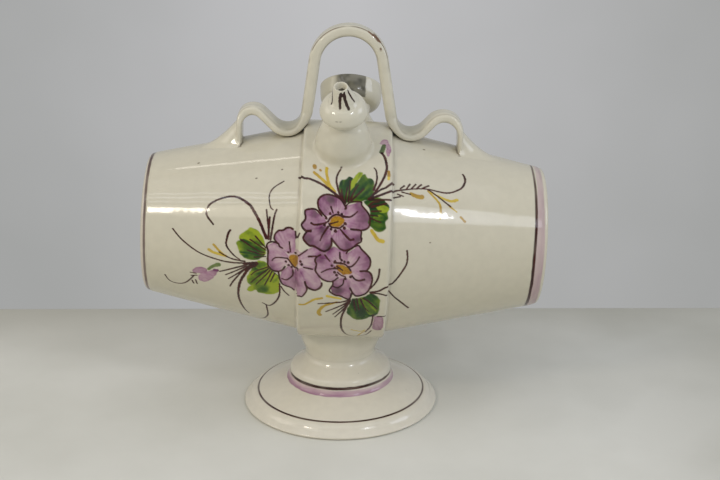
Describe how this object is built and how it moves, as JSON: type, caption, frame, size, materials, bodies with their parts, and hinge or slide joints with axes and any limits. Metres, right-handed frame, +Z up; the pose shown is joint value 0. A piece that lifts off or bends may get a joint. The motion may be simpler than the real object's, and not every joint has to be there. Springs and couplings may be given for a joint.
{
  "type": "barrel-shaped water jug",
  "caption": "Barrel-shaped water jug of glazed earthenware on a pedestal foot, with an arched strap handle, a drinking spout in front and a filling mouth behind.",
  "frame": {"origin": "on the table, under the middle of the jug's bounding box", "axes": "+Z up, +X along the barrel to the right as seen from in front, +Y back from the drinking spout to the filling mouth"},
  "size_m": [0.2888, 0.1664, 0.2872],
  "materials": {
    "cream_glaze": "glossy off-white tin glaze over earthenware"
  },
  "bodies": {
    "root": {"left_shell": "cream_glaze", "right_shell": "cream_glaze", "centre_band": "cream_glaze", "left_head": "cream_glaze", "right_head": "cream_glaze", "spout_shoulder": "cream_glaze", "spout_bulb": "cream_glaze", "spout_nozzle": "cream_glaze", "mouth_neck": "cream_glaze", "mouth_funnel": "cream_glaze", "strap_handle": "cream_glaze", "foot_collar": "cream_glaze", "foot_pedestal": "cream_glaze"}
  },
  "joints": []
}
